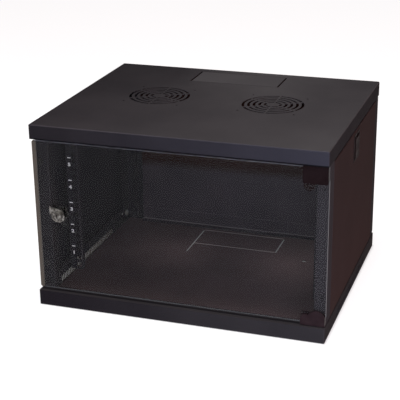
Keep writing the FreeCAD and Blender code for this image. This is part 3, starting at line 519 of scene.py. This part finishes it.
def hexagon_block(start, height, both_ends):
    """A hexagonal block along +X from a start, chamfered at its start or at both ends."""
    bpy.ops.mesh.primitive_cylinder_add(
        vertices=6, radius=across_corners / 2, depth=height,
        location=(start + height / 2, 0, 0), rotation=(0, math.radians(90), 0))
    block = bpy.context.object
    bpy.ops.object.transform_apply(location=True, rotation=True, scale=True)
    pick_faces(block, lambda normal: normal.x < -0.9 or (both_ends and normal.x > 0.9))
    bpy.ops.mesh.bevel(offset=chamfer, segments=2, affect="EDGES")
    bpy.ops.object.mode_set(mode="OBJECT")
    return block


def threaded_shank(start, plain, end):
    """A round shank along +X: plain up to the beam, then grooved as a thread."""
    bpy.ops.mesh.primitive_cylinder_add(
        vertices=24, radius=thread / 2, depth=plain - start,
        location=((start + plain) / 2, 0, 0), rotation=(0, math.radians(90), 0))
    shank = bpy.context.object
    bpy.ops.object.transform_apply(location=True, rotation=True, scale=True)
    pick_faces(shank, lambda normal: normal.x > 0.9)
    reach = plain
    while reach < end - pitch / 4:
        for size in (groove, 1 / groove):
            bpy.ops.mesh.extrude_region_move(
                TRANSFORM_OT_translate={"value": (pitch / 2, 0, 0)})
            reach += pitch / 2
            bpy.ops.transform.resize(value=(1, size, size), center_override=(reach, 0, 0))
    bpy.ops.transform.resize(value=(1, groove, groove), center_override=(reach, 0, 0))
    bpy.ops.object.mode_set(mode="OBJECT")
    return shank


solo()
thread_start = bolts_high.x - thread_length
shank_start = thread_start - plain_length
head = hexagon_block(shank_start - head_height, head_height, both_ends=False)
solo()
shank = threaded_shank(shank_start, thread_start, bolts_high.x)
head.select_set(True)
shank.select_set(True)
bpy.context.view_layer.objects.active = head
bpy.ops.object.join()
bolt = bpy.context.object
solo()
nut = hexagon_block(nuts_high.x - nut_height, nut_height, both_ends=True)

places = [(y, z)
          for y in (bolts_low.y + across_corners / 2, bolts_high.y - across_corners / 2)
          for z in (bolts_low.z + across_flats / 2, bolts_high.z - across_flats / 2)]
for side, turn in (("right", 0.0), ("left", 180.0)):
    for index, (y, z) in enumerate(places, 1):
        for pattern, node in ((bolt, "rail_bolts"), (nut, "rail_nuts")):
            solo()
            copy = bpy.data.objects.new("copy", pattern.data.copy())
            bpy.context.collection.objects.link(copy)
            copy.select_set(True)
            bpy.context.view_layer.objects.active = copy
            copy.rotation_euler = (0, 0, math.radians(turn))
            copy.location = (0, y, z)
            finish_zinc(copy, f"{node[:-1]}_{side}_{index}", "cabinet", node)
for pattern in (bolt, nut):
    bpy.data.objects.remove(pattern, do_unlink=True)


# ---------------------------------------------------------------- unit marks of the rails
# A tick at the top of every rack unit and the unit's number under it, printed in white
# on the mounting face of the front rails, beside the hole column.
unit = 0.04445
first_unit = 0.0354
mark_near = 0.2389
mark_far = 0.2456
mark_middle = (mark_near + mark_far) / 2
mark_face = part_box("front_rail_left")[0].y - 0.00012
ink_thickness = 0.00020
tick_height = 0.0018
tick_rounding = 0.00008
numeral_size = 0.0088
numeral_stroke = 0.00040
numeral_stretch = 1.25
numeral_drop = {-1: 0.0136, 1: 0.0200}
side_names = {-1: "left", 1: "right"}

ink, tree, surface = shader("white_ink")
wear = between(tree, noise(tree, 700.0, 3.0), 0.0, 1.0, start=0.30, end=0.55)
tree.links.new(blend(tree, wear, (0.78, 0.78, 0.76), (0.92, 0.92, 0.90)),
               surface.inputs["Base Color"])
surface.inputs["Roughness"].default_value = 0.6
bumps(tree, surface, noise(tree, 1600.0, 1.0), height=0.00002)


def finish_mark(piece, name):
    """Leave a mark at the origin with its place in its mesh, riding on the case."""
    bpy.ops.object.transform_apply(location=True, rotation=True, scale=True)
    piece.name = name
    piece.data.materials.clear()
    piece.data.materials.append(ink)
    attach(piece, "cabinet")


def tick(side, index):
    """One printed tick, a thin plate with rounded ends."""
    solo()
    bpy.ops.mesh.primitive_cube_add(size=1.0, location=(
        side * mark_middle, mark_face, first_unit + unit * index))
    piece = bpy.context.object
    piece.scale = (mark_far - mark_near, ink_thickness, tick_height)
    bpy.ops.object.transform_apply(location=False, rotation=False, scale=True)
    bevel = piece.modifiers.new("ends", "BEVEL")
    bevel.width = tick_rounding
    bevel.segments = 2
    bpy.ops.object.modifier_apply(modifier="ends")
    finish_mark(piece, f"tick_{side_names[side]}_{index}")


def numeral(side, index):
    """The number of a rack unit, counted from the bottom."""
    solo()
    bpy.ops.object.text_add(location=(
        side * mark_middle, mark_face + ink_thickness / 2,
        first_unit + unit * index - numeral_drop[side]))
    piece = bpy.context.object
    piece.data.body = str(index)
    piece.data.size = numeral_size
    piece.data.offset = numeral_stroke
    piece.data.align_x = "CENTER"
    piece.data.align_y = "CENTER"
    piece.data.extrude = ink_thickness / 2
    piece.scale = (numeral_stretch, 1, 1)
    piece.rotation_euler = (math.radians(90), 0, 0)
    bpy.ops.object.convert(target="MESH")
    finish_mark(bpy.context.object, f"numeral_{side_names[side]}_{index}")


for side in (-1, 1):
    for index in range(1, 7):
        tick(side, index)
        numeral(side, index)


# ---------------------------------------------------------------- rubber and nylon
# Door stops of black rubber, pressed into the left post; hinge liners of the same rubber,
# clamped on the pane; hinge bushes of black nylon, pressed into the lid and the tray.
rubber = mottled("black_rubber", ((0.012, 0.012, 0.012), (0.024, 0.023, 0.022)),
                 clouds=(260.0, 3.0), roughness=(0.62, 0.82), patches=(420.0, 2.0),
                 grain=(1800.0, 1.0), height=0.00005, specular=0.35)
paint_nodes(rubber, "door_bumpers", "upper_hinge_pads", "lower_hinge_pads")
nylon = mottled("black_nylon", ((0.014, 0.014, 0.015), (0.022, 0.022, 0.023)),
                clouds=(300.0, 3.0), roughness=(0.38, 0.55), patches=(500.0, 2.0),
                grain=(2100.0, 1.0), height=0.00003)
paint_nodes(nylon, "upper_hinge_bush", "lower_hinge_bush")


# ---------------------------------------------------------------- glass door
# One pane of 5 mm toughened glass, clear with a faint grey tint, its edges ground and
# left matt. Its top edge is painted pale, a painted highlight, and a strip 6 mm wide along
# its free edge is painted beige, painted light of the room seen through it. It hangs in the
# two hinges.
pane_low, pane_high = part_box("door_glass")
ground = 0.00035
margin = 0.0062
glass_tint = (0.010, 0.011, 0.012)
glass_cover = 0.12
rim_cover = 0.95
rim_colours = ((0.036, 0.038, 0.043), (0.070, 0.073, 0.080))
painted_light_top_edge = (0.42, 0.42, 0.44)
painted_room_margin = ((0.050, 0.038, 0.025), (0.085, 0.067, 0.048))
rim_roughness = 0.45


def beside(tree, axis, limit, operation):
    """1 where the piece is on the asked side of a limit on an axis, else 0."""
    test = tree.nodes.new("ShaderNodeMath")
    test.operation = operation
    test.inputs[1].default_value = limit
    tree.links.new(axes(tree, "Object")[axis], test.inputs[0])
    return test.outputs[0]


pane, tree, surface = shader("door_pane")
free_margin = beside(tree, "X", pane_low.x + margin, "LESS_THAN")
hinge_edge = beside(tree, "X", pane_high.x - ground, "GREATER_THAN")
foot_edge = beside(tree, "Z", pane_low.z + ground, "LESS_THAN")
top_edge = beside(tree, "Z", pane_high.z - ground, "GREATER_THAN")
edge = largest(tree, [free_margin, hinge_edge, foot_edge, top_edge])
frost = between(tree, noise(tree, 1300.0, 2.0), 0.0, 1.0)
# Pale top edge: a painted highlight.
rim = blend(tree, top_edge, blend(tree, frost, *rim_colours), painted_light_top_edge)
# Beige strip along the free edge: painted light of the room beyond.
rim_and_painted_room = blend(tree, free_margin, rim, blend(tree, frost, *painted_room_margin))
tree.links.new(blend(tree, edge, glass_tint, rim_and_painted_room), surface.inputs["Base Color"])
tree.links.new(between(tree, edge, glass_cover, rim_cover, 0.0, 1.0),
               surface.inputs["Alpha"])
matt = tree.nodes.new("ShaderNodeMix")
matt.inputs["B"].default_value = rim_roughness
tree.links.new(edge, matt.inputs["Factor"])
tree.links.new(between(tree, noise(tree, 55.0, 4.0), 0.02, 0.07), matt.inputs["A"])
tree.links.new(matt.outputs["Result"], surface.inputs["Roughness"])
paint_nodes(pane, "door_glass")


# ---------------------------------------------------------------- door hinges
# Zinc die castings in satin black lacquer, clamped on the pane from behind by grub screws;
# the upper one has a finger tab that draws its pin. The lower clamp's lacquer is painted
# lighter, painted light, and the upper clamp's darker, painted shade under the lid; the tab
# has a browner tone.
# The lower clamp's lighter lacquer is painted light, the upper clamp's darker one painted
# shade.
for name, colours, hinge_pieces in (
        ("upper_lacquer_painted_shade", ((0.0075, 0.0038, 0.0040), (0.0115, 0.0065, 0.0068)),
         ("upper_hinge_clamp", "hinge_grub_screws")),
        ("lower_lacquer_painted_light", ((0.0190, 0.0115, 0.0130), (0.0260, 0.0165, 0.0180)),
         ("lower_hinge_clamp",)),
        ("tab_lacquer", ((0.0105, 0.0045, 0.0045), (0.0150, 0.0075, 0.0072)),
         ("release_tab",))):
    lacquer = mottled(name, colours, clouds=(60.0, 4.0), roughness=(0.36, 0.50),
                      patches=(340.0, 3.0), grain=(420.0, 2.0), height=0.00005,
                      specular=0.03)
    paint_nodes(lacquer, *hinge_pieces)


# ---------------------------------------------------------------- hinge pins
# Drawn steel pins that turn in the bushes. The upper one is sprung upwards, and its collar
# squeezes the coil against the floor of its pocket when the tab is drawn down.
steel = mottled("drawn_steel", ((0.42, 0.42, 0.43), (0.58, 0.57, 0.55)),
                clouds=(220.0, 2.0), roughness=(0.22, 0.40),
                patches=(900.0, 2.0, (1.0, 1.0, 0.05)), metallic=1.0)
paint_nodes(steel, "spring_pin", "pin_spring", "lower_hinge_pin")

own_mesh(nodes["pin_spring"])


# ---------------------------------------------------------------- door lock
# A cam lock in nickel plated zinc, held in the pane by a nut. Its leaf shaped finger pull
# is dulled by hands, with fine scratches, and its faces that turn up and to the right are
# painted pale, a painted highlight. The cam is plated in black zinc.
upward_way = (0.45, -0.40, 0.80)
nickel_dulled = ((0.055, 0.051, 0.047), (0.235, 0.227, 0.216))
painted_glint = (0.62, 0.61, 0.58)
nickel, tree, surface = shader("nickel_plate")
smear = between(tree, noise(tree, 230.0, 2.0), 0.0, 1.0, start=0.42, end=0.66)
place = tree.nodes.new("ShaderNodeTexCoord")
upward = tree.nodes.new("ShaderNodeVectorMath")
upward.operation = "DOT_PRODUCT"
upward.inputs[1].default_value = upward_way
tree.links.new(place.outputs["Normal"], upward.inputs[0])
# Faces turned up and to the right are painted pale: a painted highlight.
painted_glint_mask = between(tree, upward.outputs["Value"], 0.0, 1.0, start=0.64, end=0.80)
tree.links.new(blend(tree, painted_glint_mask, blend(tree, smear, *nickel_dulled), painted_glint),
               surface.inputs["Base Color"])
tree.links.new(between(tree, noise(tree, 260.0, 4.0), 0.18, 0.34),
               surface.inputs["Roughness"])
surface.inputs["Metallic"].default_value = 1.0
bumps(tree, surface, noise(tree, 1200.0, 3.0, stretch=(1.0, 1.0, 0.2)), height=0.00003)
paint_nodes(nickel, "lock_body", "lock_washer", "lock_nut", "lock_plug")

cam_zinc = mottled("black_zinc", ((0.010, 0.0095, 0.0105), (0.020, 0.019, 0.018)),
                   clouds=(90.0, 4.0), roughness=(0.38, 0.55), patches=(700.0, 2.0),
                   grain=(1300.0, 1.0), height=0.00003, specular=0.08)
paint_nodes(cam_zinc, "lock_cam")


# ---------------------------------------------------------------- screw of the cam
# A zinc plated pan head screw with a tapered cross recess holds the cam on the key plug,
# behind the glass.
screw_low, screw_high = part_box("cam_screw")
screw_middle = (screw_low + screw_high) / 2
screw_radius = (screw_high.x - screw_low.x) / 2
pan_rounding = 0.0011
recess_reach = 0.0056
recess_width = 0.0011
recess_depth = 0.0013
recess_taper = 0.6

solo()
bpy.ops.mesh.primitive_cylinder_add(
    vertices=48, radius=screw_radius, depth=screw_high.y - screw_low.y,
    location=screw_middle, rotation=(math.radians(-90), 0, 0))
screw = bpy.context.object
bpy.ops.object.transform_apply(location=True, rotation=True, scale=True)
pick_faces(screw, lambda normal: normal.y > 0.9)
bpy.ops.mesh.bevel(offset=pan_rounding, segments=4, affect="EDGES")
bpy.ops.object.mode_set(mode="OBJECT")
for bar, size in (("level", (recess_reach, recess_depth * 2, recess_width)),
                  ("upright", (recess_width, recess_depth * 2, recess_reach))):
    solo()
    bpy.ops.mesh.primitive_cube_add(size=1.0, location=(
        screw_middle.x, screw_high.y, screw_middle.z))
    cutter = bpy.context.object
    cutter.scale = size
    bpy.ops.object.transform_apply(location=True, rotation=True, scale=True)
    pick_faces(cutter, lambda normal: normal.y < -0.9)
    bpy.ops.transform.resize(value=(recess_taper, 1, recess_taper),
                             center_override=screw_middle)
    bpy.ops.object.mode_set(mode="OBJECT")
    solo()
    screw.select_set(True)
    bpy.context.view_layer.objects.active = screw
    cut = screw.modifiers.new(bar, "BOOLEAN")
    cut.operation = "DIFFERENCE"
    cut.object = cutter
    bpy.ops.object.modifier_apply(modifier=bar)
    bpy.data.objects.remove(cutter, do_unlink=True)
finish_zinc(screw, "cam_cross_screw", "lock_key", "cam_screw")
